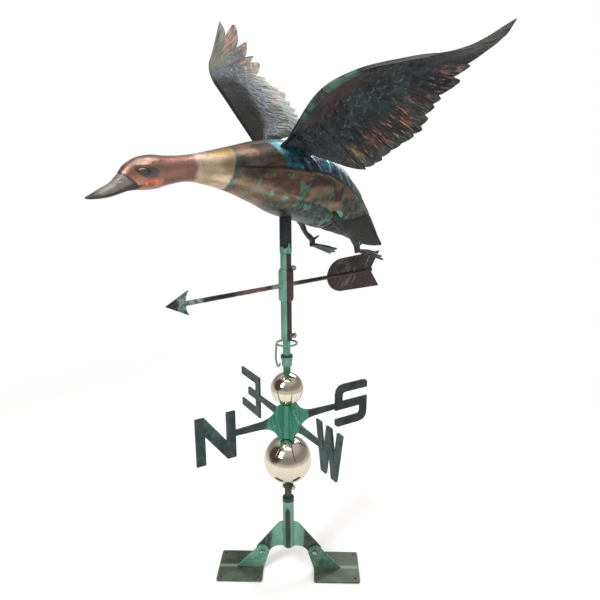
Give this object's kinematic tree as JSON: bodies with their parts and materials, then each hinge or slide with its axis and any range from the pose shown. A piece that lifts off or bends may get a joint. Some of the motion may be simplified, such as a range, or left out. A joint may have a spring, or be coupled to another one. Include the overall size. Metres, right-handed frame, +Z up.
{
  "type": "weathervane",
  "caption": "Roof-ridge weathervane: landing duck on an arrow over compass letters and two balls, with tilting ridge feet.",
  "frame": {"origin": "centre of the lower end face of the ridge mount's socket, on the spin axis, 59.5 mm above the surface the feet stand on", "axes": "+Z up along the spin axis; X runs from foot to foot; the camera of the picture looks roughly along +Y"},
  "size_m": [0.6439, 0.571, 1.2631],
  "materials": {
    "verdigris": "green patina, matt with darker drips",
    "dark_patina": "dark grey-green patina",
    "nickel": "polished, warm silver",
    "steel": "plain bright fasteners",
    "copper": "aged copper sheet, brown with green and blue",
    "feather": "aged copper sheet, charcoal with green and orange",
    "bronze": "dark brown patina"
  },
  "bodies": {
    "stand": {"roof_mount": "verdigris", "left_pivot_bolt": "steel", "right_pivot_bolt": "steel", "left_pivot_nut": "steel", "right_pivot_nut": "steel", "pole": "dark_patina", "lower_collar": "dark_patina", "big_ball": "nickel", "compass_hub": "verdigris", "arm_south": "dark_patina", "arm_east": "dark_patina", "arm_north": "dark_patina", "arm_west": "dark_patina", "small_ball": "nickel", "lock_collar": "verdigris", "safety_wire": "verdigris", "collar_screw": "steel", "hub_screw": "steel"},
    "left_foot": {"left_foot": "dark_patina"},
    "right_foot": {"right_foot": "dark_patina"},
    "vane": {"turning_tube": "verdigris", "arrow_sleeve": "verdigris", "arrow_shaft": "bronze", "arrow_head": "bronze", "arrow_feather_upper": "bronze", "arrow_feather_lower": "bronze", "duck_stem": "dark_patina", "duck_body": "copper", "left_wing": "feather", "right_wing": "feather", "left_leg": "bronze", "right_leg": "bronze", "lower_tube_screw": "steel", "upper_tube_screw": "steel"}
  },
  "joints": [
    {"name": "vane_spin", "type": "hinge", "parent": "stand", "child": "vane", "pos_m": [0, 0, 0], "axis": [0, 0, 1], "continuous": true},
    {"name": "left_foot_tilt", "type": "hinge", "parent": "stand", "child": "left_foot", "pos_m": [-0.061, 0, -0.012], "axis": [0, -1, 0], "range_deg": [-8, 45]},
    {"name": "right_foot_tilt", "type": "hinge", "parent": "stand", "child": "right_foot", "pos_m": [0.061, 0, -0.012], "axis": [0, 1, 0], "range_deg": [-8, 45]}
  ]
}
